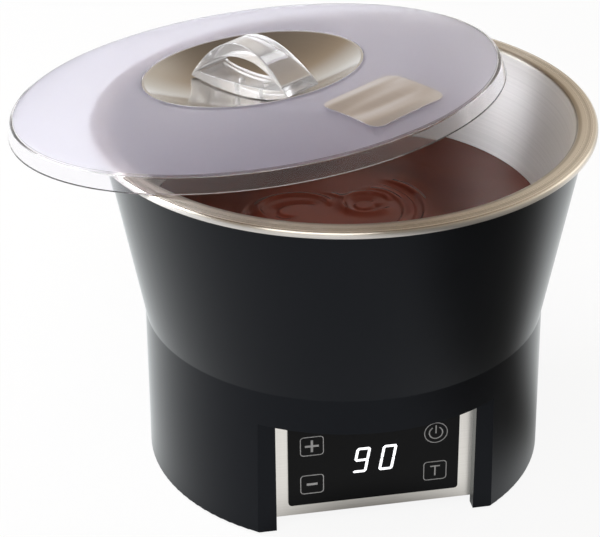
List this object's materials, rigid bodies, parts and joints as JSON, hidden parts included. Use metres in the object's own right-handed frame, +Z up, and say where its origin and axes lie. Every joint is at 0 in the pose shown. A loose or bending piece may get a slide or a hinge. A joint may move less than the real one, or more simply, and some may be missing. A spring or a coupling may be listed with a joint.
{
  "type": "chocolate melter",
  "caption": "Table-top chocolate melter: flared black casing with a recessed touch panel, heated well, steel bowl of melted chocolate, and a loose lid with a clear bow handle.",
  "frame": {"origin": "on the bowl's axis, at the surface the melter stands on", "axes": "+Z up along the bowl's axis, -Y out of the control panel, +X to the right as seen by the user"},
  "size_m": [0.3701, 0.3726, 0.2734],
  "materials": {
    "casing_black": "satin black moulding",
    "plated_steel": "zinc-plated sheet",
    "foot_rubber": "matt black",
    "screw_steel": "bright plated",
    "bowl_steel": "brushed stainless steel",
    "chocolate_dark": "melted dark chocolate, glossy",
    "well_aluminium": "spun, satin",
    "seal_silicone": "matt white silicone",
    "heater_silicone": "matt red-brown silicone",
    "insulation_felt": "needled felt",
    "panel_steel": "fine brushed stainless steel",
    "overlay_black": "gloss black",
    "board_green": "solder mask",
    "key_foam": "conductive foam",
    "part_black": "matt black",
    "standoff_brass": "turned",
    "transformer_yellow": "taped winding",
    "relay_blue": "moulded",
    "sink_aluminium": "extruded",
    "terminal_green": "moulded",
    "inlet_black": "moulded",
    "blade_brass": "nickel-plated",
    "wire_brown": "sleeved",
    "wire_green": "sleeved",
    "wire_white": "sleeved",
    "ribbon_grey": "flat cable",
    "lid_frosted": "frosted top, clear skirt",
    "dish_steel": "polished stainless steel",
    "handle_clear": "clear acrylic",
    "label_foil": "satin foil"
  },
  "bodies": {
    "casing": {"casing": "casing_black", "base_plate": "plated_steel", "rubber_feet": "foot_rubber", "base_screws": "screw_steel", "heat_well": "well_aluminium", "seal_ring": "seal_silicone", "side_heater": "heater_silicone", "base_heater": "heater_silicone", "insulation_jacket": "insulation_felt", "base_insulation": "insulation_felt", "temperature_probe": "screw_steel", "probe_plug": "seal_silicone", "thermal_cutout": "part_black", "panel_plate": "panel_steel", "touch_overlay": "overlay_black", "display_module": "part_black", "control_board": "board_green", "control_board_screws": "screw_steel", "key_pads": "key_foam", "panel_screws": "screw_steel", "power_board": "board_green", "power_standoffs": "standoff_brass", "power_board_screws": "screw_steel", "transformer": "transformer_yellow", "relay": "relay_blue", "heat_sink": "sink_aluminium", "triac": "part_black", "capacitors": "part_black", "terminal_block": "terminal_green", "fuse_holder": "part_black", "power_inlet": "inlet_black", "inlet_blades": "blade_brass", "inlet_screws": "screw_steel", "inlet_nuts": "screw_steel", "earth_stud": "screw_steel", "earth_nut": "screw_steel", "inlet_wires": "wire_brown", "earth_wire": "wire_green", "heater_leads": "wire_white", "probe_lead": "wire_white", "ribbon_cable": "ribbon_grey"},
    "bowl": {"bowl": "bowl_steel", "chocolate_fill": "chocolate_dark"},
    "lid": {"lid_shell": "lid_frosted", "lid_dish": "dish_steel", "lid_handle": "handle_clear", "handle_screws": "screw_steel", "handle_washers": "screw_steel", "lid_label": "label_foil"}
  },
  "joints": [
    {"name": "bowl_lift", "type": "slide", "parent": "casing", "child": "bowl", "axis": [0, 0, 1], "range_m": [0, 0.15]},
    {"name": "lid_lift", "type": "slide", "parent": "bowl", "child": "lid", "axis": [0, 0, 1], "range_m": [0, 0.12]}
  ]
}
